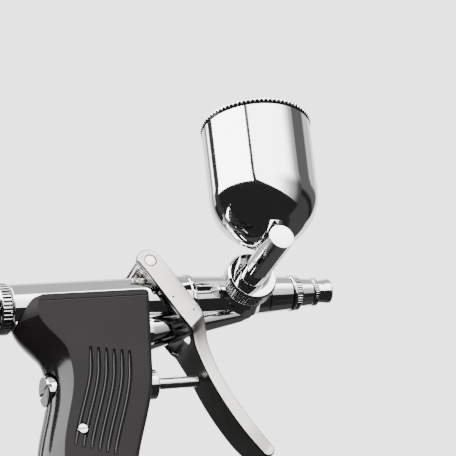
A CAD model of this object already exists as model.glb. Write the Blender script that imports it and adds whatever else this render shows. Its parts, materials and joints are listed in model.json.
import json
import math

import bmesh
import bpy
import numpy as np
from mathutils import Matrix, Vector


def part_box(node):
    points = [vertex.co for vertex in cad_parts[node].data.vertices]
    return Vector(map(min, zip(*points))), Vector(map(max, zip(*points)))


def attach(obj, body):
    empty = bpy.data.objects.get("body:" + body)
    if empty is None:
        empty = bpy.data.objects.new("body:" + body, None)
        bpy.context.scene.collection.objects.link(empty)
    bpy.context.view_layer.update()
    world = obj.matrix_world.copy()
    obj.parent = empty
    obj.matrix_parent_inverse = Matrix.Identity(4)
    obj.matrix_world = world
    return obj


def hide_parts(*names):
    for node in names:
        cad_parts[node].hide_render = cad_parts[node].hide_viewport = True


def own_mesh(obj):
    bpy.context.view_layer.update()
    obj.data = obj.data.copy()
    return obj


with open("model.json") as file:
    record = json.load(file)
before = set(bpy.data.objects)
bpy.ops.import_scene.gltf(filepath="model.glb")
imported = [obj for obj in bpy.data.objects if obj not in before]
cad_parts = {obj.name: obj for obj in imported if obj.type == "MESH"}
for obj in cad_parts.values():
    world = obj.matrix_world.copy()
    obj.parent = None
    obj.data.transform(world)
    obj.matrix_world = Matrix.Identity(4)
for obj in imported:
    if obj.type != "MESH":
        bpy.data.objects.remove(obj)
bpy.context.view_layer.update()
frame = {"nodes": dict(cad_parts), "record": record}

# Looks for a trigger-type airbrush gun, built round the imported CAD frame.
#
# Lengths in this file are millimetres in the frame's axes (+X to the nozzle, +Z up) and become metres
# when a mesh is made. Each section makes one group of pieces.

MM = 0.001
TAU = 2 * math.pi

# ---- places and sizes from the frame
AXIS_Z = Vector((0, 0, 1))
JOINTS = {joint["name"]: joint for joint in frame["record"]["behaviour"]["joints"]}
MOUNTS = {mount["name"]: mount for mount in frame["record"]["mounts"]}


def box_mm(node):
    low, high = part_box(node)
    return low / MM, high / MM


def joint_place(name):
    return Vector(JOINTS[name]["pos_m"]) / MM


PIVOT = joint_place("trigger_pull")
CUP_SEAT = joint_place("cup_turn")
CUP_AXIS = Vector(JOINTS["lid_lift"]["axis"])
HANDLE_AXIS = Vector(MOUNTS["hose_face"]["axis"])
VALVE_Z = sum(box_mm("valve_plunger")[k].z for k in (0, 1)) / 2
PULL_PIN = sum(box_mm("pull_pin_left"), Vector()) / 2
SEAM = box_mm("grip_left")[0].y
GRIP_HALF = box_mm("grip_left")[1].y
BARREL_R = 6.38
COLLAR_R = 6.63  # a raised band at the barrel's front end


# ---- mesh helpers
def along(origin, direction, roll_to=AXIS_Z):
    """A placing whose local +X runs along direction, from origin."""
    x = Vector(direction).normalized()
    y = Vector(roll_to).cross(x)
    if y.length < 1e-6:
        y = Vector((0, 1, 0))
    y.normalize()
    z = x.cross(y)
    turn = Matrix((x, y, z)).transposed().to_4x4()
    return Matrix.Translation(Vector(origin)) @ turn


ON_BARREL = Matrix.Identity(4)
ON_PORT = along((CUP_SEAT.x, 0, 0), (0, -1, 0))
ON_CUP = along(CUP_SEAT, CUP_AXIS, (0, 1, 0))
ON_HANDLE = along((0, 0, 0), HANDLE_AXIS, (0, 1, 0))
ON_VALVE = along((0, 0, VALVE_Z), (1, 0, 0))


def turned(name, place=ON_BARREL):
    """A node's lowest and highest places along a placing's axis, and its largest radius about it."""
    source = frame["nodes"][name]
    back = place.inverted()
    points = [back @ (source.matrix_world @ vertex.co / MM) for vertex in source.data.vertices]
    reaches = [point.x for point in points]
    return min(reaches), max(reaches), max(math.hypot(point.y, point.z) for point in points)


def in_scene(name, data):
    obj = bpy.data.objects.new(name, data)
    bpy.context.scene.collection.objects.link(obj)
    return obj


def new_object(name, verts, faces, place=None, sharp=32):
    """A mesh object from points in millimetres, smooth except at edges over the sharp angle."""
    if place is not None:
        verts = [place @ Vector(v) for v in verts]
    mesh = bpy.data.meshes.new(name)
    mesh.from_pydata([tuple(Vector(v) * MM) for v in verts], [], faces)
    obj = in_scene(name, mesh)
    tidy(obj, sharp)
    return obj


def tidy(obj, sharp=32):
    """Merges doubles, points the faces out and marks the sharp edges."""
    bm = bmesh.new()
    bm.from_mesh(obj.data)
    bmesh.ops.remove_doubles(bm, verts=bm.verts, dist=2e-7)
    bmesh.ops.dissolve_degenerate(bm, edges=bm.edges, dist=1e-7)
    bmesh.ops.recalc_face_normals(bm, faces=bm.faces)
    limit = math.radians(sharp)
    for face in bm.faces:
        face.smooth = True
    for edge in bm.edges:
        edge.smooth = not (len(edge.link_faces) == 2 and edge.calc_face_angle(0) > limit)
    bm.to_mesh(obj.data)
    bm.free()


def apply_modifiers(obj):
    """Turns what obj's modifiers make into its mesh."""
    graph = bpy.context.evaluated_depsgraph_get()
    mesh = bpy.data.meshes.new_from_object(obj.evaluated_get(graph))
    obj.modifiers.clear()
    obj.data = mesh


def boolean(obj, tools, operation):
    """Joins tools to obj, cuts them from it or keeps what they share, and removes the tools."""
    for tool in tools:
        step = obj.modifiers.new("boolean", "BOOLEAN")
        step.operation = operation
        step.solver = "EXACT"
        step.object = tool
    bpy.context.view_layer.update()
    apply_modifiers(obj)
    for tool in tools:
        bpy.data.objects.remove(tool)


def even_normals(obj):
    """Weighted normals, for pieces that don't have exact ones."""
    if obj.get("exact_normals"):
        return
    weigh = obj.modifiers.new("normals", "WEIGHTED_NORMAL")
    weigh.keep_sharp = True
    weigh.weight = 80


def filleted(profile, closed=False, steps=5):
    """A profile of (radius, place[, fillet]) with each corner's fillet drawn as an arc."""
    count = len(profile)
    out = []
    for i, corner in enumerate(profile):
        fillet = corner[2] if len(corner) > 2 else 0
        at_end = not closed and i in (0, count - 1)
        here = Vector(corner[:2])
        if not fillet or at_end:
            out.append(tuple(here))
            continue
        back = Vector(profile[i - 1][:2]) - here
        on = Vector(profile[(i + 1) % count][:2]) - here
        half = back.angle(on) / 2
        reach = min(fillet / math.tan(half), 0.48 * back.length, 0.48 * on.length)
        radius = reach * math.tan(half)
        centre = here + (back.normalized() + on.normalized()).normalized() * (reach / math.cos(half))
        start = here + back.normalized() * reach - centre
        end = here + on.normalized() * reach - centre
        sweep = start.angle(end)
        turn = math.copysign(1, start.x * end.y - start.y * end.x)
        first = math.atan2(start.y, start.x)
        for k in range(steps + 1):
            angle = first + turn * sweep * k / steps
            out.append((centre.x + radius * math.cos(angle), centre.y + radius * math.sin(angle)))
    return out


def lathe(name, profile, place=ON_BARREL, sides=96, closed=False, steps=5, radius_at=None):
    """Turns a profile of (radius, place along the axis[, fillet]) about local +X.

    radius_at(radius, angle, along) can change a ring's radius, for knurls.
    """
    points = filleted(profile, closed, steps)
    verts, faces, rings = [], [], []
    for radius, reach in points:
        if radius < 1e-5:
            rings.append([len(verts)])
            verts.append((reach, 0, 0))
            continue
        ring = []
        for k in range(sides):
            angle = TAU * k / sides
            r = radius_at(radius, angle, reach) if radius_at else radius
            ring.append(len(verts))
            verts.append((reach, r * math.cos(angle), r * math.sin(angle)))
        rings.append(ring)
    pairs = list(zip(rings, rings[1:]))
    if closed:
        pairs.append((rings[-1], rings[0]))
    for a, b in pairs:
        for k in range(sides):
            n = (k + 1) % sides
            quad = [a[k % len(a)], a[n % len(a)], b[n % len(b)], b[k % len(b)]]
            face = list(dict.fromkeys(quad))
            if len(face) > 2:
                faces.append(face)
    return new_object(name, verts, faces, place)


def catmull(a, b, c, d, t):
    """A Catmull-Rom curve, which runs from b to c."""
    return 0.5 * (2 * b + (c - a) * t + (2 * a - 5 * b + 4 * c - d) * t * t
                  + (3 * b - a - 3 * c + d) * t ** 3)


def evenly(fine, count):
    """Points evenly spread along a chain of points."""
    lengths = [0.0]
    for a, b in zip(fine, fine[1:]):
        lengths.append(lengths[-1] + (b - a).length)
    out, j = [], 0
    for k in range(count):
        want = lengths[-1] * k / (count - 1)
        while j < len(lengths) - 2 and lengths[j + 1] < want:
            j += 1
        span = max(lengths[j + 1] - lengths[j], 1e-9)
        out.append(fine[j].lerp(fine[j + 1], min(max((want - lengths[j]) / span, 0), 1)))
    return out


def smooth_path(points, count, per_span=24):
    """Points evenly spread along a Catmull-Rom curve through the given points."""
    pts = [Vector(p) for p in points]
    pts = [2 * pts[0] - pts[1], *pts, 2 * pts[-1] - pts[-2]]
    fine = []
    for i in range(1, len(pts) - 2):
        a, b, c, d = pts[i - 1:i + 3]
        fine += [catmull(a, b, c, d, k / per_span) for k in range(per_span)]
    fine.append(pts[-2])
    return evenly(fine, count)


def skin(name, rings, place=None, sharp=32):
    """A closed surface over rings of points, capped at both ends."""
    count = len(rings[0])
    verts = [p for ring in rings for p in ring]
    faces = []
    for i in range(len(rings) - 1):
        for j in range(count):
            n = (j + 1) % count
            faces.append((i * count + j, i * count + n, (i + 1) * count + n, (i + 1) * count + j))
    faces.append(tuple(range(count)))
    last = (len(rings) - 1) * count
    faces.append(tuple(range(last, last + count)))
    return new_object(name, verts, faces, place, sharp)


def circle_at(x, z, r, sides=64):
    """A ring of points round a line along X."""
    angles = [TAU * k / sides for k in range(sides)]
    return [Vector((x, r * math.sin(a), z + r * math.cos(a))) for a in angles]


def wire(name, points, radius, sides=16):
    """A round wire with domed ends along points."""
    pts = [Vector(p) for p in points]
    tangents = [(pts[min(i + 1, len(pts) - 1)] - pts[max(i - 1, 0)]).normalized() for i in range(len(pts))]
    normal = tangents[0].orthogonal().normalized()
    rings = []

    def ring(centre, tangent, r):
        side = tangent.cross(normal).normalized()
        return [centre + (normal * math.cos(TAU * k / sides) + side * math.sin(TAU * k / sides)) * r
                for k in range(sides)]

    for back, size in ((0.95, 0.3), (0.7, 0.72), (0.35, 0.94)):
        rings.append(ring(pts[0] - tangents[0] * radius * back, tangents[0], radius * size))
    for point, tangent in zip(pts, tangents):
        normal = (normal - tangent * normal.dot(tangent)).normalized()
        rings.append(ring(point, tangent, radius))
    for on, size in ((0.35, 0.94), (0.7, 0.72), (0.95, 0.3)):
        rings.append(ring(pts[-1] + tangents[-1] * radius * on, tangents[-1], radius * size))
    return skin(name, rings, sharp=60)


def soft_coil(name, place, wire_r, turns, per_turn=40):
    """A coil spring the size of a CAD node, which shortens towards its rear end as a slide joint moves."""
    low, high, reach = turned(name, place)
    coil_r, length, steps = reach - wire_r, high - low - 2 * wire_r, per_turn * turns
    angles = [TAU * i / per_turn for i in range(steps + 1)]
    points = [place @ Vector((low + wire_r + length * i / steps, coil_r * math.cos(a), coil_r * math.sin(a)))
              for i, a in enumerate(angles)]
    spring = finish_piece(wire(name + "_look", points, wire_r, 12), name)
    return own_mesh(spring)


def prism(name, outline, y_low, y_high):
    """A plate whose outline lies in X and Z."""
    count = len(outline)
    verts = [(x, y_low, z) for x, z in outline] + [(x, y_high, z) for x, z in outline]
    faces = [tuple(range(count)), tuple(range(count, 2 * count))]
    faces += [(k, (k + 1) % count, count + (k + 1) % count, count + k) for k in range(count)]
    return new_object(name, verts, faces)


def box_outline(x_low, x_high, z_low, z_high):
    return [(x_low, z_low), (x_high, z_low), (x_high, z_high), (x_low, z_high)]


def arc(centre_x, centre_z, r, first, last, steps=16):
    """Points on an arc in X and Z, in degrees."""
    out = []
    for k in range(steps + 1):
        angle = math.radians(first + (last - first) * k / steps)
        out.append((centre_x + r * math.cos(angle), centre_z + r * math.sin(angle)))
    return out


def cylinder(name, r, low, high, place, sides=64):
    return lathe(name, [(0, low), (r, low), (r, high), (0, high)], place, sides)


# ---- materials
def node(tree, kind, sockets=(), **settings):
    """A new node, with the values of its unlinked sockets as pairs of name and value."""
    made = tree.nodes.new(kind)
    for key, value in settings.items():
        setattr(made, key, value)
    for key, value in sockets:
        made.inputs[key].default_value = value
    return made


def principled(name, color, metallic, roughness):
    mat = bpy.data.materials.new(name)
    mat.use_nodes = True
    shader = mat.node_tree.nodes["Principled BSDF"]
    shader.inputs["Base Color"].default_value = (*color, 1)
    shader.inputs["Metallic"].default_value = metallic
    shader.inputs["Roughness"].default_value = roughness
    return mat, mat.node_tree, shader


def noise(tree, scale, detail=4, stretch=(1, 1, 1)):
    """Object-space noise, stretched along an axis for brushed metal."""
    coords = node(tree, "ShaderNodeTexCoord")
    mapping = node(tree, "ShaderNodeMapping", [("Scale", stretch)])
    texture = node(tree, "ShaderNodeTexNoise", [("Scale", scale), ("Detail", detail)])
    tree.links.new(coords.outputs["Object"], mapping.inputs["Vector"])
    tree.links.new(mapping.outputs["Vector"], texture.inputs["Vector"])
    return texture.outputs["Fac"]


def spread(tree, value, low, high):
    """Maps a noise, which is mostly within 0.3 to 0.7, to low..high."""
    ramp = node(tree, "ShaderNodeMapRange",
                [("From Min", 0.3), ("From Max", 0.7), ("To Min", low), ("To Max", high)])
    tree.links.new(value, ramp.inputs["Value"])
    return ramp.outputs["Result"]


def tint(tree, value, dark, light):
    mix = node(tree, "ShaderNodeMix", data_type="RGBA")
    mix.inputs["A"].default_value = (*dark, 1)
    mix.inputs["B"].default_value = (*light, 1)
    tree.links.new(value, mix.inputs["Factor"])
    return mix.outputs["Result"]


def bump(tree, shader, height, strength, distance):
    bumped = node(tree, "ShaderNodeBump", [("Strength", strength), ("Distance", distance)])
    tree.links.new(height, bumped.inputs["Height"])
    tree.links.new(bumped.outputs["Normal"], shader.inputs["Normal"])


def metal(name, dark, light, rough, grain, stretch=(1, 1, 1), depth=0.00001, strength=0.1):
    """Metal with slightly uneven colour, polish and surface."""
    mat, tree, shader = principled(name, light, 1.0, rough[0])
    cloud, fine = noise(tree, 220, 3), noise(tree, grain, 4, stretch)
    tree.links.new(tint(tree, cloud, dark, light), shader.inputs["Base Color"])
    tree.links.new(spread(tree, fine, *rough), shader.inputs["Roughness"])
    bump(tree, shader, fine, strength, depth)
    return mat


# name, darkest and lightest colour, range of roughness, scale of the grain
CHROME = metal("chrome_plate", (0.80, 0.80, 0.82), (0.90, 0.90, 0.91), (0.03, 0.075), 900, strength=0.02)
KNURL_CHROME = metal("knurled_chrome", (0.74, 0.74, 0.76), (0.84, 0.84, 0.85), (0.16, 0.24), 900,
                     strength=0.02)
KNURL_GROOVE = metal("knurl_grooves", (0.10, 0.10, 0.10), (0.17, 0.17, 0.17), (0.22, 0.34), 2400)
SATIN = metal("satin_nickel", (0.43, 0.415, 0.395), (0.51, 0.495, 0.47), (0.25, 0.32), 2600, (1, 1, 0.12),
              strength=0.15, depth=0.00002)
EDGE_POLISH = metal("shaded_nickel", (0.085, 0.082, 0.08), (0.12, 0.116, 0.112), (0.28, 0.36), 2200,
                    strength=0.04)
PIN_STEEL = metal("turned_pin_end", (0.72, 0.67, 0.58), (0.82, 0.77, 0.68), (0.2, 0.3), 3000, (1, 0.2, 1))
STEEL = metal("bright_steel", (0.62, 0.62, 0.64), (0.76, 0.76, 0.77), (0.16, 0.28), 3000, (0.2, 1, 1))
BRASS = metal("machined_brass", (0.60, 0.43, 0.17), (0.78, 0.60, 0.30), (0.2, 0.34), 1800)


def plastic(name, color, lighter, rough, grain, strength, shine=0.5):
    """Plastic or rubber with a fine moulded grain."""
    mat, tree, shader = principled(name, color, 0.0, rough[0])
    shader.inputs["Specular IOR Level"].default_value = shine
    cloud, fine = noise(tree, 90, 3), noise(tree, grain, 2)
    tree.links.new(tint(tree, cloud, color, lighter), shader.inputs["Base Color"])
    tree.links.new(spread(tree, fine, *rough), shader.inputs["Roughness"])
    bump(tree, shader, fine, strength, 0.00002)
    return mat


GRIP = plastic("grip_plastic", (0.0095, 0.0083, 0.0087), (0.0135, 0.0119, 0.0124), (0.38, 0.48), 3800,
               0.25, 0.09)
GLOSS_GRIP = plastic("grip_gloss", (0.004, 0.0035, 0.0035), (0.006, 0.0052, 0.0052), (0.10, 0.16), 1500,
                     0.05, 0.4)
RUBBER = plastic("seal_rubber", (0.012, 0.012, 0.012), (0.02, 0.02, 0.02), (0.7, 0.85), 2500, 0.3)
SEAL = plastic("seal_plastic", (0.78, 0.77, 0.72), (0.86, 0.85, 0.81), (0.4, 0.5), 2500, 0.1)

SLOT_MATERIALS = {
    "chrome": CHROME, "satin_metal": SATIN, "steel": STEEL, "brass": BRASS, "grip_plastic": GRIP,
    "seal_rubber": RUBBER, "seal_plastic": SEAL,
}
NODE_SLOT = {part["node"]: part["material_slot"] for part in frame["record"]["subparts"]}
NODE_BODY = {name: body for body, names in frame["record"]["behaviour"]["bodies"].items() for name in names}


def groove(angle, teeth, share):
    """0 on a tooth's flat top and 1 in the groove, with sloping flanks."""
    phase = (angle * teeth / TAU) % 1.0
    off = abs(phase - 0.5) * 2
    edge = min(max((off - share) / (0.85 - share), 0), 1)
    return edge * edge * (3 - 2 * edge)


def knurl_finish(obj, place, low, high, groove_r, tooth_r, tooth=CHROME):
    """Gives a knurl's grooves, between groove_r and tooth_r, a darker finish, and its teeth their own."""
    for finish in (CHROME, KNURL_GROOVE, tooth):
        obj.data.materials.append(finish)
    back = place.inverted()
    for face in obj.data.polygons:
        centre = back @ (face.center / MM)
        radius = math.hypot(centre.y, centre.z)
        if low < centre.x < high and radius > groove_r:
            face.material_index = 1 if radius < tooth_r else 2


def finish_piece(obj, *nodes, material=None):
    """Gives a piece its material, body and record slot, and says which CAD nodes it stands for."""
    slot = NODE_SLOT[nodes[0]]
    if not obj.data.materials:
        obj.data.materials.append(material or SLOT_MATERIALS[slot])
    even_normals(obj)
    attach(obj, NODE_BODY[nodes[0]])
    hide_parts(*nodes)
    return obj


def turned_piece(name, profile, place=ON_BARREL, sides=96, closed=True):
    """A turned piece whose profile is a function of the node's low end, high end and largest radius."""
    low, high, r = turned(name, place)
    shape = lathe(name + "_look", profile(low, high, r), place, sides, closed)
    return finish_piece(shape, name)


def knurled_piece(name, profile, band, teeth, depth, flat, under, dark, place=ON_BARREL,
                  per_tooth=10, closed=True, tooth=CHROME):
    """A turned piece with a knurl.

    band says how far the grooves start from the low end and stop before the high end, depth how deep they
    are, and flat how wide a tooth's top is as a share of the pitch. Rings more than under inside the
    largest radius aren't cut. dark gives how far inside it the grooves' finish starts and ends.
    """
    low, high, r = turned(name, place)
    start, stop = band

    def grooved(radius, angle, reach):
        if radius < r - under or not low + start <= reach <= high - stop:
            return radius
        return radius - depth * groove(angle, teeth, flat)

    shape = lathe(name + "_look", profile(low, high, r), place, teeth * per_tooth, closed, radius_at=grooved)
    spill = 0.05
    knurl_finish(shape, place, low + start - spill, high - stop + spill, r - dark[0], r - dark[1], tooth)
    return finish_piece(shape, name)


for name, obj in frame["nodes"].items():
    obj.data.materials.clear()
    obj.data.materials.append(SLOT_MATERIALS[NODE_SLOT[name]])


# ---- camera, light and floor
VIEW_AZIMUTH = math.radians(-26.137)  # from straight along +Y, towards the gun's rear
VIEW_ELEVATION = math.radians(-25.006)  # the camera looks up at the gun
VIEW_ROLL = math.radians(14.177)
VIEW_DISTANCE = 601.75
VIEW_AIM = Vector((38.41, -7.92, 16.74))
LENS = 175.9  # for a 36 mm sensor


def make_camera():
    back = Vector((
        math.sin(VIEW_AZIMUTH) * math.cos(VIEW_ELEVATION),
        -math.cos(VIEW_AZIMUTH) * math.cos(VIEW_ELEVATION),
        math.sin(VIEW_ELEVATION),
    ))
    level_right = Vector((math.cos(VIEW_AZIMUTH), math.sin(VIEW_AZIMUTH), 0))
    level_up = back.cross(level_right)
    right = level_right * math.cos(VIEW_ROLL) - level_up * math.sin(VIEW_ROLL)
    up = level_up * math.cos(VIEW_ROLL) + level_right * math.sin(VIEW_ROLL)
    data = bpy.data.cameras.new("camera")
    data.lens = LENS
    data.sensor_width = 36
    data.clip_start = 0.01
    data.clip_end = 20
    camera = in_scene("camera", data)
    turn = Matrix((right, up, back)).transposed().to_4x4()
    camera.matrix_world = Matrix.Translation((VIEW_AIM + back * VIEW_DISTANCE) * MM) @ turn
    bpy.context.scene.camera = camera


def make_world():
    """A pale backdrop, and round it a studio of soft boxes for what the metal reflects."""
    world = bpy.data.worlds.new("studio")
    bpy.context.scene.world = world
    world.use_nodes = True
    tree = world.node_tree
    tree.nodes.clear()
    link = tree.links.new

    coords = node(tree, "ShaderNodeTexCoord")
    split = node(tree, "ShaderNodeSeparateXYZ")
    link(coords.outputs["Generated"], split.inputs[0])

    def maths(operation, a, b=None, c=None):
        made = node(tree, "ShaderNodeMath", operation=operation)
        for slot_index, value in enumerate((a, b, c)):
            if value is None:
                continue
            if isinstance(value, (int, float)):
                made.inputs[slot_index].default_value = value
            else:
                link(value, made.inputs[slot_index])
        return made.outputs[0]

    azimuth = maths("ARCTAN2", split.outputs["Y"], split.outputs["X"])
    elevation = maths("ARCSINE", split.outputs["Z"])

    def fade(value, low, high):
        """0 below low, 1 above high, smooth between."""
        ramp = node(tree, "ShaderNodeMapRange", [("From Min", low), ("From Max", high)],
                    interpolation_type="SMOOTHSTEP")
        link(value, ramp.inputs["Value"])
        return ramp.outputs["Result"]

    def patch(az_from, az_to, el_from, el_to, soft=2.0, slope=0.0, curve=0.0):
        """1 inside a range of azimuth and elevation, in degrees. slope and curve shape the lower edge."""
        middle = math.radians((az_from + az_to) / 2)
        half = math.radians((az_to - az_from) / 2)
        away = maths("WRAP", maths("SUBTRACT", azimuth, middle), math.pi, -math.pi)
        beside = maths("ABSOLUTE", away)
        s = math.radians(soft)
        inside = maths("SUBTRACT", 1.0, fade(beside, half - s, half + s))
        tilted = maths("MULTIPLY_ADD", away, -slope, elevation)
        bent = maths("MULTIPLY_ADD", maths("MULTIPLY", away, away), -curve, tilted)
        above = fade(bent, math.radians(el_from) - s, math.radians(el_from) + s)
        below = maths("SUBTRACT", 1.0, fade(elevation, math.radians(el_to) - s, math.radians(el_to) + s))
        return maths("MULTIPLY", maths("MULTIPLY", inside, above), below)

    # the right soft box falls off towards its far end, and more so low down
    past = maths("WRAP", maths("SUBTRACT", azimuth, math.radians(336)), math.pi, -math.pi)
    far = maths("MULTIPLY_ADD", fade(past, math.radians(-33), math.radians(-6)), -0.9, 1.0)
    low_down = maths("SUBTRACT", 1.0, fade(elevation, math.radians(0), math.radians(30)))
    dim = maths("MULTIPLY", low_down, fade(past, math.radians(-75), math.radians(-25)))
    right_box = maths("MULTIPLY", maths("MULTIPLY", far, 7.0), maths("MULTIPLY_ADD", dim, -0.88, 1.0))

    dark_corners = 0.024
    light = maths("ADD", dark_corners, 0.0)
    layers = [
        # level, az from, az to, el from, el to, softness, slope, curve
        (0.72, -180, 180, 36, 91, 4),  # ceiling
        (0.15, -31, 31, -2, 38, 3),  # dim wall ahead
        (0.07, -25, 112, -55, -12, 4),  # floor behind the gun
        (0.9, 6, 34, 14, 38, 3),  # paler wall beside the backdrop
        (1.8, 31, 112, -12, 60, 3),  # backdrop behind the gun
        (0.5, 104, 113, -12, 60, 2),  # the backdrop's dim edge
        (1.2, 115, 124, 18, 31, 1),  # narrow strip beside the left soft box
        (5.0, 115, 124, 29, 60, 1),
        (0.055, 125, 141, -12, 60, 1),  # dark flag
        (9.0, 141, 231.5, 22.1, 62, 0.6, -0.122, -0.096),  # left soft box
        (right_box, 238, 334, -18.5, 62, 0.6, -0.449, 0.274),  # right soft box
        (0.72, 291, 345, 39, 91, 2),  # grey card over the right box
    ]
    for level, *shape in layers:
        mask = patch(*shape)
        mixed = node(tree, "ShaderNodeMix", data_type="FLOAT")
        link(mask, mixed.inputs["Factor"])
        link(light, mixed.inputs["A"])
        if isinstance(level, float):
            mixed.inputs["B"].default_value = level
        else:
            link(level, mixed.inputs["B"])
        light = mixed.outputs["Result"]
    studio = node(tree, "ShaderNodeBackground", [("Color", (1.0, 0.995, 0.99, 1))])
    link(light, studio.inputs["Strength"])
    backdrop = node(tree, "ShaderNodeBackground", [("Color", (1.0, 0.965, 1.02, 1)), ("Strength", 3.15)])
    path = node(tree, "ShaderNodeLightPath")
    choose = node(tree, "ShaderNodeMixShader")
    link(path.outputs["Is Camera Ray"], choose.inputs["Fac"])
    link(studio.outputs[0], choose.inputs[1])
    link(backdrop.outputs[0], choose.inputs[2])
    output = node(tree, "ShaderNodeOutputWorld")
    link(choose.outputs[0], output.inputs["Surface"])


def make_floor():
    size, height = 4.0, -0.45  # metres
    mesh = bpy.data.meshes.new("floor")
    corners = [(x * size, y * size, height) for x, y in ((-1, -1), (1, -1), (1, 1), (-1, 1))]
    mesh.from_pydata(corners, [], [(0, 1, 2, 3)])
    floor = in_scene("floor", mesh)
    mat, tree, shader = principled("floor_paper", (0.78, 0.77, 0.79), 0.0, 0.9)
    paper = tint(tree, noise(tree, 3, 2), (0.76, 0.75, 0.77), (0.80, 0.79, 0.81))
    tree.links.new(paper, shader.inputs["Base Color"])
    mesh.materials.append(mat)
    floor.visible_glossy = False


make_camera()
make_world()
make_floor()


# ---- normals of joined turned shapes
def shade_by_shapes(obj, shapes):
    """After a join or cut, gives each face on a known shape that shape's exact normals.

    shapes are functions of a point in millimetres that are 0 on the surface and grow outwards.
    """
    mesh = obj.data
    step, near, alike = 0.002, 0.02, 0.9
    points = [v.co / MM for v in mesh.vertices]
    normals = [Vector(n.vector) for n in mesh.corner_normals]

    def gradient(shape, p):
        slope = [shape(p + Vector([step if i == k else 0 for i in range(3)])) - shape(p) for k in range(3)]
        return Vector(slope).normalized()

    cache = [{} for _ in shapes]
    for face in mesh.polygons:
        for index, shape in enumerate(shapes):
            if any(abs(shape(points[v])) > near for v in face.vertices):
                continue
            there = gradient(shape, face.center / MM)
            agree = there.dot(face.normal)
            if abs(agree) < alike:
                continue
            for loop in face.loop_indices:
                v = mesh.loops[loop].vertex_index
                if v not in cache[index]:
                    cache[index][v] = gradient(shape, points[v])
                normals[loop] = cache[index][v] * math.copysign(1, agree)
            break
    mesh.normals_split_custom_set([tuple(n) for n in normals])
    obj["exact_normals"] = True


def between(x, stations):
    """Values read at x from stations of (x, value, ...), on straight lines between them."""
    xs = [s[0] for s in stations]
    i = max(0, min(len(xs) - 2, int(np.searchsorted(xs, x)) - 1))
    t = min(max((x - xs[i]) / (xs[i + 1] - xs[i]), 0), 1)
    return [a + (b - a) * t for a, b in zip(stations[i][1:], stations[i + 1][1:])]


# ---- main body
BODY_REAR, BODY_FRONT = turned("main_body")[:2]
CONE = ((BODY_FRONT - 21.75, 6.1), (BODY_FRONT, 5.0))
# the air tube under the barrel: stations along X, each with its centre's height and its radius
AIR_TUBE = [(-6, -9.6, 5.6), (11.9, -9, 5.1), (28, -6.8, 3.1), (39.5, -5.4, 2.2), (41.6, -5.0, 1.75)]


def make_main_body():
    body = lathe("main_body_look", [
        (0, BODY_REAR + 0.1), (6.1, BODY_REAR + 0.1, 0.1), (BARREL_R, BODY_REAR + 0.4, 0.2),
        (BARREL_R, BODY_FRONT - 23.35, 0.1), (COLLAR_R, BODY_FRONT - 23.1, 0.12),
        (COLLAR_R, BODY_FRONT - 22.25, 0.14), (6.12, BODY_FRONT - 21.8, 0.12), (5.0, BODY_FRONT, 0.05),
        (0, BODY_FRONT),
    ], sides=160)
    rings = []
    stations = 60
    for i in range(stations + 1):
        x = AIR_TUBE[0][0] + (AIR_TUBE[-1][0] - AIR_TUBE[0][0]) * i / stations
        z, r = between(x, AIR_TUBE)
        rings.append(circle_at(x, z, r))
    tip_x, tip_z, tip_r = AIR_TUBE[-1]
    tip_steps = 7
    for k in range(1, tip_steps):
        angle = math.pi / 2 * k / tip_steps
        r = tip_r * math.cos(angle)
        x = tip_x + 0.8 * tip_r * math.sin(angle)
        rings.append(circle_at(x, tip_z, r))
    tube = skin("tube", rings)
    boss = lathe("boss", [
        (0, 1), (7.0, 1), (6.2, 4.3, 1.0), (5.0, 5.6, 0.8), (4.6, 6.6, 0.3), (4.6, 6.85, 0.12),
        (4.45, 7.0), (0, 7.0),
    ], ON_PORT, 96)
    lug_r, lug_half = 2.1, 2.3
    lug = prism("lug", [(PIVOT.x - lug_r - 0.6, 4), (PIVOT.x + lug_r + 0.6, 4),
                        *arc(PIVOT.x, PIVOT.z, lug_r, 0, 180, 32)], -lug_half, lug_half)
    socket = cylinder("socket", 5.2, 4, 17.5, ON_HANDLE)
    boolean(body, [tube, boss, lug, socket], "UNION")

    bore = lathe("bore", [
        (0, -27), (4.2, -27), (4.2, 26), (1.6, 27), (1.6, 30), (2.7, 30.5), (2.7, 37), (2, 37.5), (2, 44),
        (2.5, 44.5), (2.5, 50), (0, 50),
    ], sides=64)
    port_bore = cylinder("port_bore", 3, 1, 8, ON_PORT)
    pin_hole = cylinder("pin_hole", 1.18, -4, 4, along(PIVOT, (0, 1, 0)))
    slot_r, slot_ends = 1.25, (14.0, 16.6)  # the pull pins' slot
    slot = prism("slot", [*arc(slot_ends[1], 0.03, slot_r, -90, 90),
                          *arc(slot_ends[0], 0.03, slot_r, 90, 270)], -8, 8)
    airway = cylinder("airway", 3, 7.8, 18.5, ON_HANDLE)
    boolean(body, [bore, port_bore, pin_hole, slot, airway], "DIFFERENCE")
    tidy(body, 22)

    def cone(p):
        (x0, r0), (x1, r1) = CONE
        return math.hypot(p.y, p.z) - (r0 + (r1 - r0) * (p.x - x0) / (x1 - x0))

    def under_tube(p):
        z, r = between(p.x, AIR_TUBE)
        return math.hypot(p.y, p.z - z) - r

    shade_by_shapes(body, [lambda p: math.hypot(p.y, p.z) - BARREL_R, cone, under_tube])
    return finish_piece(body, "main_body")


make_main_body()


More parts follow.
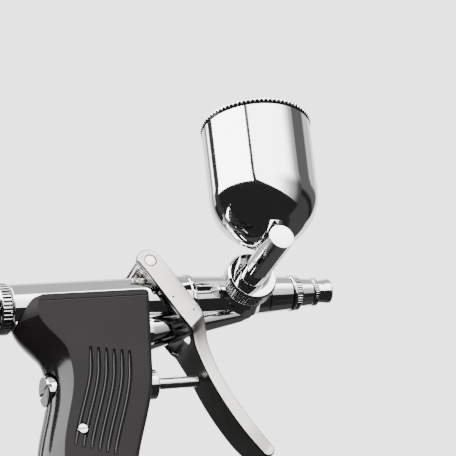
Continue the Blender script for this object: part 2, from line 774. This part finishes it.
# ---- nose
def make_nose():
    turned_piece("head_cap", lambda low, high, r: [
        (2.5, low), (r, low, 0.12), (r - 0.45, high, 0.1), (3.4, high), (3.4, low + 2.15), (2.5, low + 2.15),
    ], sides=128)
    knurled_piece("head_collar", lambda low, high, r: [
        (3.4, low), (r - 0.08, low, 0.1), (r + 0.2, low + 0.2, 0.18), (r + 0.2, low + 0.7, 0.18),
        (r - 0.06, low + 0.9, 0.05), (r - 0.06, low + 0.95), (r, low + 1), (r, high - 0.3),
        (r - 0.12, high - 0.24), (r - 0.23, high, 0.08), (3.4, high),
    ], band=(0.95, 0.25), teeth=44, depth=0.3, flat=0.5, under=0.38, dark=(0.48, 0.08))
    turned_piece("nozzle_cap", lambda low, high, r: [
        (r - 0.93, low), (r - 0.58, low), (r - 0.58, high - 3.5), (r + 0.32, high - 3.5, 0.1),
        (r, high, 0.1), (1.5, high), (1.5, high - 1.1), (r - 0.93, high - 2.7),
    ], sides=128)
    knurled_piece("crown_ring", lambda low, high, r: [
        (2.5, low), (r - 0.34, low), (r - 0.08, low + 0.16, 0.08), (r - 0.04, low + 0.24), (r, low + 0.3),
        (r, high - 0.2), (r - 0.06, high - 0.14), (r - 0.24, high, 0.05), (2.5, high),
    ], band=(0.25, 0.15), teeth=36, depth=0.28, flat=0.5, under=0.54, dark=(0.44, 0.08))
    turned_piece("needle_cap", lambda low, high, r: [
        (1.6, low), (r - 1.13, low), (r - 1.13, low + 1.7), (r - 0.35, low + 1.7, 0.08),
        (r - 0.21, high - 2.2, 2), (r + 0.03, high - 0.5, 0.3), (r - 0.03, high, 0.15),
        (r - 0.58, high, 0.15), (r - 1.23, high - 2.6, 0.6), (1.6, low + 1.7),
    ], sides=128)
    turned_piece("fluid_nozzle", lambda low, high, r: [
        (r - 1.15, low), (r - 0.15, low), (r - 0.15, low + 6), (r, low + 6), (r, high - 7.8),
        (r - 0.45, high - 7.4), (r - 1.3, high), (0.95, high), (r - 1.15, low + 7.4),
    ], sides=64)


make_nose()


# ---- tail
def make_tail():
    knurled_piece("rear_ring", lambda low, high, r: [
        (5.4, low + 0.05), (r - 0.48, low + 0.05, 0.1), (r - 0.06, low + 0.35, 0.12),
        (r - 0.04, low + 0.49), (r, low + 0.55), (r, high - 0.55), (r - 0.04, high - 0.49),
        (r - 0.12, high - 0.35, 0.1), (r - 0.33, high - 0.05, 0.1), (5.4, high - 0.05),
    ], band=(0.5, 0.5), teeth=40, depth=0.55, flat=0.4, under=0.58, dark=(0.78, 0.12), per_tooth=12)
    turned_piece("tail_handle", lambda low, high, r: [
        (r - 1.3, low), (r - 0.6, low, 0.3), (r - 0.2, low + 2, 1.5), (r, high - 3.85, 6),
        (r - 0.2, high - 0.05, 0.15), (r - 1.3, high - 0.05),
    ], sides=160)
    knurled_piece("needle_stop_knob", lambda low, high, r: [
        (0, low), (3.6, low, 0.8), (r - 0.8, low + 1.2, 0.5), (r - 0.8, low + 2.8, 0.1),
        (r - 0.35, low + 3.1, 0.15), (r - 0.05, low + 3.45), (r, low + 3.5), (r, high - 7.9),
        (r - 0.05, high - 7.85), (r - 0.4, high - 7.3), (r - 0.9, high - 7.3), (r - 0.9, high, 0.2),
        (0, high),
    ], band=(3.5, 7.9), teeth=36, depth=0.35, flat=0.4, under=0.4, dark=(0.6, 0.1), closed=False)


make_tail()


# ---- needle drive
def make_needle_drive():
    turned_piece("needle", lambda low, high, r: [
        (0, low), (r - 0.1, low), (r, low + 0.1), (r, high - 21.9), (0.06, high), (0, high),
    ], sides=48, closed=False)
    for name, side in (("pull_pin_right", -1), ("pull_pin_left", 1)):
        across = along((PULL_PIN.x, 0, PULL_PIN.z), (0, side, 0))
        turned_piece(name, lambda low, high, r: [(0, low), (r, low), (r, high, 0.2), (0, high)],
                     across, 48, closed=False)
    turned_piece("needle_chuck", lambda low, high, r: [
        (0.9, low), (r - 0.2, low), (r, low + 0.2), (r, high - 0.2), (r - 0.2, high), (0.9, high),
    ], sides=64)
    low, high, r = turned("chuck_nut")

    def nut_teeth(radius, angle, _):
        return radius - (0.25 * groove(angle, 20, 0.4) if radius > r - 0.3 else 0)

    finish_piece(lathe("chuck_nut_look", [
        (0.9, low), (r - 0.4, low), (r, low + 0.4), (r, high - 0.4), (r - 0.4, high), (0.9, high),
    ], sides=200, closed=True, radius_at=nut_teeth), "chuck_nut")
    soft_coil("needle_spring", ON_BARREL, 0.4, 6)


make_needle_drive()


# ---- paint cup
def make_cup():
    knurled_piece("cup_nut", lambda low, high, r: [
        (3.5, low), (r - 0.5, low, 0.1), (r - 0.15, low + 0.25, 0.12), (r - 0.05, low + 0.42),
        (r, low + 0.5), (r, high - 0.7), (r - 0.05, high - 0.62), (r - 0.17, high - 0.45, 0.12),
        (r - 0.5, high, 0.12), (3.5, high, 0.06),
    ], band=(0.45, 0.65), teeth=60, depth=0.34, flat=0.35, under=0.55, dark=(0.65, 0.15),
        place=ON_PORT, per_tooth=8, tooth=KNURL_CHROME)

    low, high, r = turned("cup_stem", ON_PORT)
    stem = lathe("cup_stem_look", [
        (0, low), (r - 0.92, low), (r - 0.92, low + 1.9), (r, low + 2.5, 0.1), (r, high, 0.22), (0, high),
    ], ON_PORT, 160)
    centre, bowl_r, wall, drain_r = 16.75, 14.4, 0.8, 1.3
    seat_r, fine = bowl_r + 0.3, 48
    half_turn = [math.pi * k / fine for k in range(fine + 1)]
    seat = lathe("seat", [(seat_r * math.sin(a), centre - seat_r * math.cos(a)) for a in half_turn],
                 ON_CUP, 128)
    passage = cylinder("passage", drain_r + 0.2, low - 1, -CUP_SEAT.y + drain_r + 0.4, ON_PORT)
    drain = cylinder("drain", drain_r, 0, 10, ON_CUP)
    boolean(stem, [seat, passage, drain], "DIFFERENCE")
    tidy(stem, 25)
    shade_by_shapes(stem, [lambda p: math.hypot(p.x - CUP_SEAT.x, p.z) - r])
    finish_piece(stem, "cup_stem")

    rim, top_r = turned("cup_bowl", ON_CUP)[1:]
    outer, inner = [], []
    bend = 40
    for profile, radius in ((outer, bowl_r), (inner, bowl_r - wall)):
        first = math.asin(drain_r / radius)
        for k in range(bend + 1):
            angle = first + (math.pi / 2 - first) * k / bend
            profile.append((radius * math.sin(angle), centre - radius * math.cos(angle)))
    lip = [(top_r, rim - 0.15, 0.1), (top_r - 0.15, rim, 0.1), (top_r - wall, rim, 0.1)]
    bowl = lathe("cup_bowl_look", [*outer, *lip, *reversed(inner)], ON_CUP, 192, closed=True)
    finish_piece(bowl, "cup_bowl")

    low, high, lid_r = turned("cup_lid", ON_CUP)
    under, top = rim + 0.3, high - 0.6
    plug_r = top_r - wall - 0.35

    def lid_teeth(radius, angle, reach):
        """Teeth that run out into the chamfers of the lid's band."""
        if radius < lid_r - 0.45 or reach < under - 0.01:
            return radius
        return min(radius, lid_r - 0.42 * groove(angle, 78, 0.3))

    chamfer_steps = 10
    chamfer = [(lid_r - 0.7 + 0.7 * k / chamfer_steps, under + 0.74 * k / chamfer_steps)
               for k in range(chamfer_steps + 1)]
    cover = lathe("cup_lid_look", [
        (0.7, top - 0.8), (plug_r - 0.8, top - 0.8, 0.3), (plug_r - 0.8, low), (plug_r, low, 0.1),
        (plug_r, under), *chamfer, (lid_r, top - 0.5), (lid_r - 0.05, top - 0.38),
        (lid_r - 0.16, top - 0.27), (lid_r - 0.3, top - 0.2), (lid_r - 0.45, top - 0.16),
        (lid_r - 1.2, top, 0.6), (4, top + 0.57, 6), (0.9, top + 0.59, 0.1), (0.7, top + 0.45),
    ], ON_CUP, 78 * 10, closed=True, radius_at=lid_teeth)
    knurl_finish(cover, ON_CUP, under - 0.01, under + 0.8, lid_r - 0.72, lid_r - 0.06)
    finish_piece(cover, "cup_lid")


make_cup()


# ---- trigger
# the trigger's side view at rest: the edges of its arms and of its lever, from the pivot, along X and Z
def from_pivot(*points):
    return [(PIVOT.x + x, PIVOT.z + z) for x, z in points]


ARM_REAR = from_pivot(
    (-3.34, -0.35), (-1.12, -4.32), (0.82, -8.27), (2.76, -12.2), (4.69, -16.12), (6.79, -20.02),
)
ARM_FRONT = from_pivot(
    (3.01, 1.42), (4.99, -2.42), (6.96, -6.24), (8.87, -10.35), (10.83, -14.15), (11.38, -16.65),
)
LEVER_REAR = from_pivot(
    (7.4, -21.9), (7.9, -24.8), (9.2, -29.6), (10.9, -35.8), (13.5, -42.8), (16.9, -49.8),
    (20.7, -55.4),
)
LEVER_FRONT = from_pivot(
    (11.75, -20), (11.8, -23.8), (13, -30), (14.6, -35.4), (17, -41.4), (20.1, -47.4), (23.5, -53),
)
HALVES = [8.6] * 6 + [7.3, 6.3, 5.5, 5.4, 5.3, 5.1, 4.4]  # half the width at each station down the edges
ARM_INNER = 7.1  # half the space between the arms
CREASE = 5  # the station where the arms turn inwards
CROTCH_HALF = 4.7
PAD = from_pivot((4.9, -7.9))[0]  # inside each arm, where it meets its pull pin
DIMPLES = from_pivot((3.92, -10.98), (8.91, -15.03))


def even_curve(values, t):
    """A value between stations past the crease: a smooth curve that starts at the crease without a run-in."""
    i = min(int(t), len(values) - 2)
    b, c = values[i], values[i + 1]
    a = values[i - 1] if i > CREASE else 2 * b - c
    d = values[i + 2] if i + 2 < len(values) else 2 * c - b
    return catmull(a, b, c, d, t - i)


def spline(points, t):
    """A place between points, on a smooth curve through them all."""
    i = max(0, min(len(points) - 2, int(t)))
    b, c = Vector(points[i]), Vector(points[i + 1])
    a = Vector(points[i - 1]) if i > 0 else 2 * b - c
    d = Vector(points[i + 2]) if i + 2 < len(points) else 2 * c - b
    return catmull(a, b, c, d, t - i)


def pointing(angle):
    return Vector((math.cos(angle), math.sin(angle)))


def trigger_edges():
    """Points down the trigger's rear and front edges, with half its width and half its gap at each."""
    rear_line = ARM_REAR + LEVER_REAR
    front_line = ARM_FRONT + LEVER_FRONT
    last = len(rear_line) - 1
    head = Vector((PIVOT.x - 0.3, PIVOT.z))
    head_r = 3.4
    rear, front, halves, inners = [], [], [], []

    # the round heads of the arms, from the top down both edges
    first_rear = math.atan2(rear_line[0][1] - head.y, rear_line[0][0] - head.x) % TAU
    first_front = math.atan2(front_line[0][1] - head.y, front_line[0][0] - head.x)
    top = (first_rear + first_front) / 2
    head_steps = 14
    for k in range(head_steps):
        share = k / head_steps
        for line, end in ((rear, first_rear), (front, first_front)):
            angle = top + (end - top) * share
            line.append(head + head_r * pointing(angle))
        halves.append(HALVES[0])
        inners.append(ARM_INNER)

    # down the arms and the lever
    per_station = 12
    for k in range(last * per_station + 1):
        t = k / per_station
        i = min(int(t), last - 1)
        u = t - i
        if i == CREASE:
            inner = CROTCH_HALF + (ARM_INNER - CROTCH_HALF) * (1 - u) ** 1.3
        elif t <= CREASE:
            inner = ARM_INNER
        else:
            inner = CROTCH_HALF * math.sqrt(max(0, 1 - ((t - CREASE - 1) * 3) ** 2))
        rear.append(spline(rear_line, t))
        front.append(spline(front_line, t))
        halves.append(HALVES[0] if t <= CREASE else even_curve(HALVES, t))
        inners.append(inner if inner > 0.05 else 0)

    # the lever's round tip
    end = (rear[-1] + front[-1]) / 2
    end_r = (front[-1] - rear[-1]).length / 2
    from_rear = math.atan2(rear[-1].y - end.y, rear[-1].x - end.x)
    tip_steps = 10
    for k in range(1, tip_steps + 1):
        turn = math.pi / 2 * k / tip_steps
        rear.append(end + end_r * pointing(from_rear + turn))
        front.append(end + end_r * pointing(from_rear + math.pi - turn))
        halves.append(HALVES[-1])
        inners.append(0)

    return rear, front, halves, inners


def make_trigger():
    rear, front, halves, inners = trigger_edges()
    count = len(rear)
    loop = list(range(count)) + [-i for i in range(count - 2, 0, -1)]  # down the rear edge and up the front
    outline = [rear[index] if index >= 0 else front[-index] for index in loop]
    number = len(outline)
    after = outline[1:] + outline[:1]
    inward = []
    for k in range(number):
        flow = (after[k] - outline[k - 1]).normalized()
        inward.append(Vector((-flow.y, flow.x)))
    if sum(here.x * on.y - on.x * here.y for here, on in zip(outline, after)) < 0:
        inward = [-n for n in inward]

    fillet, steps, across = 0.42, 5, 4
    quarter = [math.pi / 2 * k / steps for k in range(steps + 1)]
    edge = [(fillet * (1 - math.sin(a)), fillet * (1 - math.cos(a))) for a in quarter]
    verts, faces = [], []

    def ring(side, inset_at, y_at):
        """Adds a ring, drawn in from the outline, and returns the number of its first point."""
        start = len(verts)
        for index, point, normal in zip(loop, outline, inward):
            p = point + normal * inset_at(abs(index))
            verts.append((p.x, side * y_at(abs(index)), p.y))
        return start

    def fill(start, opened):
        """Fills a ring from edge to edge, apart from the part without a gap when it is opened."""
        rows = []
        for i in range(count):
            a = start + i
            b = a if i in (0, count - 1) else start + number - i
            row = [a]
            for j in range(1, across):
                if a != b:
                    verts.append(tuple(Vector(verts[a]).lerp(Vector(verts[b]), j / across)))
                row.append(a if a == b else len(verts) - 1)
            rows.append([*row, b])
        for i in range(count - 1):
            if opened and inners[i] == 0 and inners[i + 1] == 0:
                continue
            here, below = rows[i], rows[i + 1]
            for j in range(across):
                quad = list(dict.fromkeys((here[j], here[j + 1], below[j + 1], below[j])))
                if len(quad) > 2:
                    faces.append(quad)

    for side in (1, -1):
        starts = [ring(side, lambda s: inset, lambda s: halves[s] - drop) for inset, drop in edge]
        starts += [ring(side, lambda s: inset if inners[s] > 0 else 0,
                        lambda s: inners[s] + drop if inners[s] > 0 else 0) for inset, drop in reversed(edge)]
        for a, b in zip(starts, starts[1:]):
            for k in range(number):
                n = (k + 1) % number
                faces.append((a + k, a + n, b + n, b + k))
        fill(starts[0], False)
        fill(starts[-1], True)
    trigger = new_object("trigger_look", verts, faces, sharp=24)

    pads = []
    for side in (-1, 1):
        on_pad = along((PAD[0], 0, PAD[1]), (0, side, 0))
        pads.append(lathe("pad", [(0, 6.6), (0.8, 6.6, 0.1), (0.8, 7.4), (0, 7.4)], on_pad, 32))
    boolean(trigger, pads, "UNION")
    hole = cylinder("hole", 1.74, -10, 10, along(PIVOT, (0, 1, 0)), 96)
    dimples = [cylinder("dimple", 0.3, 8.1, 9, along((x, 0, z), (0, -1, 0)), 24) for x, z in DIMPLES]
    boolean(trigger, [hole, *dimples], "DIFFERENCE")
    tidy(trigger, 24)
    trigger.data.materials.append(SATIN)
    trigger.data.materials.append(EDGE_POLISH)
    for face in trigger.data.polygons:
        outside = abs(face.normal.y) > 0.75 and face.normal.y * face.center.y > 0
        face.material_index = 0 if outside and abs(face.center.y) / MM > HALVES[-1] - 0.1 else 1
    return finish_piece(trigger, "trigger")


make_trigger()


def make_trigger_pin_and_spring():
    on_pivot = along(PIVOT, (0, 1, 0))
    end, head_face, head_r, shaft_r = 8.55, 6.7, 1.5, 1.1
    finish_piece(lathe("trigger_pin_look", [
        (0, -end), (head_r, -end, 0.14), (head_r, -head_face, 0.1), (shaft_r, -head_face),
        (shaft_r, head_face), (0.7, head_face), (0.7, end - 0.8), (0, end - 0.8),
    ], on_pivot, 96), "trigger_pin", material=PIN_STEEL)
    finish_piece(lathe("trigger_pin_nut_look", [
        (0.82, head_face + 0.3), (head_r, head_face + 0.3, 0.1), (head_r, end, 0.14), (0, end),
        (0, end - 0.5), (0.82, end - 0.5),
    ], on_pivot, 96, closed=True), "trigger_pin_nut", material=PIN_STEEL)

    coil_r, coil_in, coil_out, wire_r = 1.95, 3.9, 6.2, 0.36
    first_angle, turns, steps = 0.75 * math.pi, 2.375, 120
    half = []
    for i in range(steps + 1):
        angle = first_angle - TAU * turns * i / steps
        y = coil_out - (coil_out - coil_in) * i / steps
        half.append(Vector((PIVOT.x + coil_r * math.cos(angle), y, PIVOT.z + coil_r * math.sin(angle))))
    leg = [PIVOT + Vector(p) for p in ((2.4, coil_in + 0.2, -1.2), (3.8, 6.2, -3.4), (4.3, 6.5, -4.9))]
    half += smooth_path([half[-2], half[-1], *leg], 24)[2:]
    corner = PIVOT + Vector((-2.6, coil_out - 0.4, 0.95))
    lead_in = smooth_path([(corner.x, 0, corner.z), (corner.x, corner.y - 1, corner.z), corner,
                           half[0], half[3]], 40)
    run = [*lead_in, *half[4:]]
    mirror = [Vector((p.x, -p.y, p.z)) for p in run]
    finish_piece(wire("trigger_spring_look", [*reversed(mirror[1:]), *run], wire_r), "trigger_spring")


make_trigger_pin_and_spring()


# ---- air valve and inlet
def make_valve():
    turned_piece("valve_gland", lambda low, high, r: [
        (1.62, low), (r, low, 0.1), (r, high - 0.3, 0.25), (r - 0.4, high, 0.15), (1.62, high),
    ], ON_VALVE)
    turned_piece("valve_plunger", lambda low, high, r: [
        (0, low), (r, low), (r, low + 1.6), (r - 1, low + 2.4), (r - 1, low + 4.4), (r - 0.6, low + 4.8),
        (r - 0.6, high - 0.45, 0.3), (r - 1, high, 0.3), (0, high),
    ], ON_VALVE, 64, closed=False)
    low, high, r = turned("valve_plug", ON_VALVE)
    plug = lathe("valve_plug_look", [
        (0, low), (r - 0.35, low, 0.15), (r, low + 0.4, 0.2), (r, high), (0, high),
    ], ON_VALVE, 96)
    slot = prism("slot", box_outline(low - 0.5, low + 1.1, VALVE_Z - 0.5, VALVE_Z + 0.5), -5, 5)
    boolean(plug, [slot], "DIFFERENCE")
    tidy(plug, 30)
    finish_piece(plug, "valve_plug")
    soft_coil("valve_spring", ON_VALVE, 0.3, 4)

    low, high, r = turned("air_inlet", ON_HANDLE)
    root_r = r - 0.5
    thread, crests = [], 7
    pitch = (high - low - 2.3) / crests
    for i in range(crests):
        start = low + 1.7 + i * pitch
        thread += [(root_r, start + 0.08 * pitch, 0.05), (r, start + 0.45 * pitch, 0.05),
                   (r, start + 0.55 * pitch, 0.05), (root_r, start + 0.92 * pitch, 0.05)]
    finish_piece(lathe("air_inlet_look", [
        (2.2, low), (root_r - 0.1, low), *thread, (root_r - 0.1, high - 0.4, 0.1), (root_r - 0.26, high, 0.1),
        (2.4, high, 0.1), (2.2, high - 0.2),
    ], ON_HANDLE, 96, closed=True, steps=3), "air_inlet")
    low, high, r = turned("inlet_nut", ON_HANDLE)
    nut = lathe("inlet_nut_look", [
        (4.5, low), (r - 0.7, low), (r, low + 0.4), (r, high - 0.4), (r - 0.7, high), (4.5, high),
    ], ON_HANDLE, 96, closed=True)
    flats = lathe("flats", [(0, low - 1), (r, low - 1), (r, high + 1), (0, high + 1)], ON_HANDLE, 6)
    boolean(nut, [flats], "INTERSECT")
    tidy(nut, 25)
    finish_piece(nut, "inlet_nut")
    turned_piece("handle_tube", lambda low, high, r: [(r - 1.2, low), (r, low), (r, high), (r - 1.2, high)],
                 ON_HANDLE, 64)


make_valve()


# ---- grip
GRIP_BACK = 4.6  # how far the rounded back stands behind the rear edge
GRIP_LENGTH = 84.0
EDGE_R = 1.3  # rounding of the top and the foot
NOSE_R = 1.5  # rounding of the front corner
NOSE_STEPS, BACK_STEPS = 6, 12
GROOVES, GROOVE_FIRST, GROOVE_PITCH = 6, 6.4, 2.08  # the places are from the front edge
GROOVE_TOP, GROOVE_RUN = 0.226, 0.37  # shares of the front edge's length
RIM_LINE_Z = -2.2
GLOSS_TOP_Z = -5.6  # the back is glossy below this height


def bezier(points, t):
    a, b, c, d = (Vector(p) for p in points)
    s = 1 - t
    return a * s ** 3 + b * (3 * s * s * t) + c * (3 * s * t * t) + d * t ** 3


# the grip's side view: curves down its front and rear edges, along X and Z
FRONT_EDGE = [
    [(11.9, 0.1), (10.57, -7.43), (9.23, -14.97), (7.9, -22.5)],
    [(7.9, -22.5), (6.2, -34), (-2, -44), (-3.6, -56)],
    [(-3.6, -56), (-4.6, -64), (-4, -74), (-6.4, -82)],
]
REAR_EDGE = [
    [(-17.7, 0.1), (-23.6, -5.4), (-17.2, -10.6), (-14.9, -14.6)],
    [(-14.9, -14.6), (-14, -16.2), (-13.9, -18.6), (-13.9, -20.7)],
    [(-13.9, -20.7), (-13.9, -29), (-19.6, -36), (-21, -46)],
    [(-21, -46), (-22.2, -58), (-22.6, -70), (-22, -79.6)],
]


def edge_table(pieces, per_piece=200, count=401):
    """Evenly spaced points down an edge made of curves."""
    fine = [bezier(piece, k / per_piece) for piece in pieces for k in range(per_piece)]
    return evenly([*fine, Vector(pieces[-1][-1])], count)


FRONT_POINTS = edge_table(FRONT_EDGE)
REAR_POINTS = edge_table(REAR_EDGE)


def on_edge(points, share):
    place = share * (len(points) - 1)
    i = min(int(place), len(points) - 2)
    return points[i].lerp(points[i + 1], place - i)


def grip_ring(share, side, draw_in):
    """One station's half section, drawn in for the rounded top and foot."""
    front, rear = on_edge(FRONT_POINTS, share), on_edge(REAR_POINTS, share)
    width = (front - rear).length
    ahead = (front - rear).normalized()
    half = GRIP_HALF - draw_in
    section = [(draw_in, SEAM), (draw_in, half * 0.5)]
    for k in range(NOSE_STEPS + 1):
        angle = math.pi / 2 * k / NOSE_STEPS
        section.append((draw_in + NOSE_R * (1 - math.cos(angle)), half - NOSE_R * (1 - math.sin(angle))))
    crease_y = half - 0.28
    section += [(width * share_across, half) for share_across in (0.25, 0.5, 0.75)]
    section += [(width - 0.32, half), (width - 0.1, half - 0.08), (width, crease_y)]
    for k in range(1, BACK_STEPS + 1):
        y = crease_y * (1 - k / BACK_STEPS) + SEAM * k / BACK_STEPS
        section.append((width + (GRIP_BACK - draw_in) * (1 - (y / crease_y) ** 2.2), y))
    return [(front.x - ahead.x * behind, side * y, front.y - ahead.y * behind) for behind, y in section]


def darkened(tool):
    """Makes a cutting tool leave the glossy finish on what it cuts."""
    for finish in (GRIP, GLOSS_GRIP):
        tool.data.materials.append(finish)
    for face in tool.data.polygons:
        face.material_index = 1
    return tool


def groove_tool(side, offset):
    """A bar that follows the front edge at a distance, shallow at both ends."""
    rings = []
    steps = 60
    for k in range(steps + 1):
        share = GROOVE_TOP + GROOVE_RUN * k / steps
        front, rear = on_edge(FRONT_POINTS, share), on_edge(REAR_POINTS, share)
        ahead = (front - rear).normalized()
        down = (on_edge(FRONT_POINTS, share + 0.01) - on_edge(FRONT_POINTS, share - 0.01)).normalized()
        across = Vector((-down.y, down.x))
        if across.dot(ahead) > 0:
            across = -across
        centre = front + across * offset
        fade = min(k, steps - k) / (steps * 0.11)
        fade = min(1, fade) ** 0.6
        deep = 0.05 + 0.95 * fade
        wide = 0.3 + 0.32 * fade
        ring = []
        for j in range(16):
            angle = TAU * j / 16
            p = centre + across * (wide * math.cos(angle))
            ring.append((p.x, side * (GRIP_HALF + deep * math.sin(angle)), p.y))
        rings.append(ring)
    return darkened(skin("groove", rings))


def station_share(i, stations, edge):
    """Stations down the grip, with a dozen of them close together round each end's edge."""
    close = 12
    if i <= close:
        return edge * (1 - math.cos(math.pi / 2 * i / close))
    if i >= stations - close:
        return 1 - edge * (1 - math.cos(math.pi / 2 * (stations - i) / close))
    return edge + (1 - 2 * edge) * (i - close) / (stations - 2 * close)


def make_grip():
    screw_middles = [sum(box_mm(f"grip_screw_{i}"), Vector()) / 2 for i in (1, 2)]
    screw_places = [(middle.x, middle.z) for middle in screw_middles]
    tube_stations = [(x, between(x, AIR_TUBE)) for x in (-10, -6, 0, 6, 11.9, 20, 28)]
    stations = 110
    for name, side in (("grip_right", -1), ("grip_left", 1)):
        rings = []
        for i in range(stations + 1):
            share = station_share(i, stations, EDGE_R / GRIP_LENGTH)
            from_end = min(share, 1 - share) * GRIP_LENGTH
            draw_in = 0.0
            if from_end < EDGE_R:
                draw_in = EDGE_R - math.sqrt(max(0, EDGE_R ** 2 - (EDGE_R - from_end) ** 2))
            rings.append(grip_ring(share, side, draw_in))
        shell = skin(name + "_look", rings, sharp=20)
        shell.data.materials.append(GRIP)
        shell.data.materials.append(GLOSS_GRIP)
        count = len(rings[0])
        for face in shell.data.polygons:
            ring_index = [v % count for v in face.vertices]
            on_back = len(face.vertices) == 4 and min(ring_index) >= count - BACK_STEPS - 1
            if on_back and face.center.z / MM < GLOSS_TOP_Z:
                face.material_index = 1
        on_rim = along((0, side * (GRIP_HALF + 0.04), RIM_LINE_Z), (1, 0, 0))
        tools = [
            cylinder("cutter", 6.68, -40, 40, ON_BARREL, 128),
            cylinder("cutter", 5.5, 0, 31, ON_HANDLE),  # the body's socket
            cylinder("cutter", 4.5, 30, 95, ON_HANDLE),  # the handle tube
            cylinder("cutter", 4.9, -30, 30, ON_VALVE, 96),
            skin("cutter", [circle_at(x, z, r + 0.3) for x, (z, r) in tube_stations]),
            *(groove_tool(side, GROOVE_FIRST + GROOVE_PITCH * k) for k in range(GROOVES)),
            darkened(cylinder("cutter", 0.26, -30, 30, on_rim, 24)),
            *(cylinder("cutter", 1.5, -20, 20, along((x, 0, z), (0, 1, 0))) for x, z in screw_places),
        ]
        boolean(shell, tools, "DIFFERENCE")
        tidy(shell, 24)
        finish_piece(shell, name)

    for i, (x, z) in enumerate(screw_places):
        across = along((x, 0, z), (0, 1, 0))
        low, high, r = turned(f"grip_screw_{i + 1}", across)
        screw = lathe(f"grip_screw_{i + 1}_look", [
            (0, low), (r - 0.15, low, 0.1), (r, low + 0.2, 0.1), (r, high - 0.2, 0.1), (r - 0.15, high, 0.1),
            (0, high),
        ], across, 64)
        slots = [prism("slot", box_outline(x - 2, x + 2, z - 0.2, z + 0.2), y, y + 1)
                 for y in (low - 0.5, high - 0.5)]
        boolean(screw, slots, "DIFFERENCE")
        tidy(screw, 30)
        finish_piece(screw, f"grip_screw_{i + 1}")


make_grip()
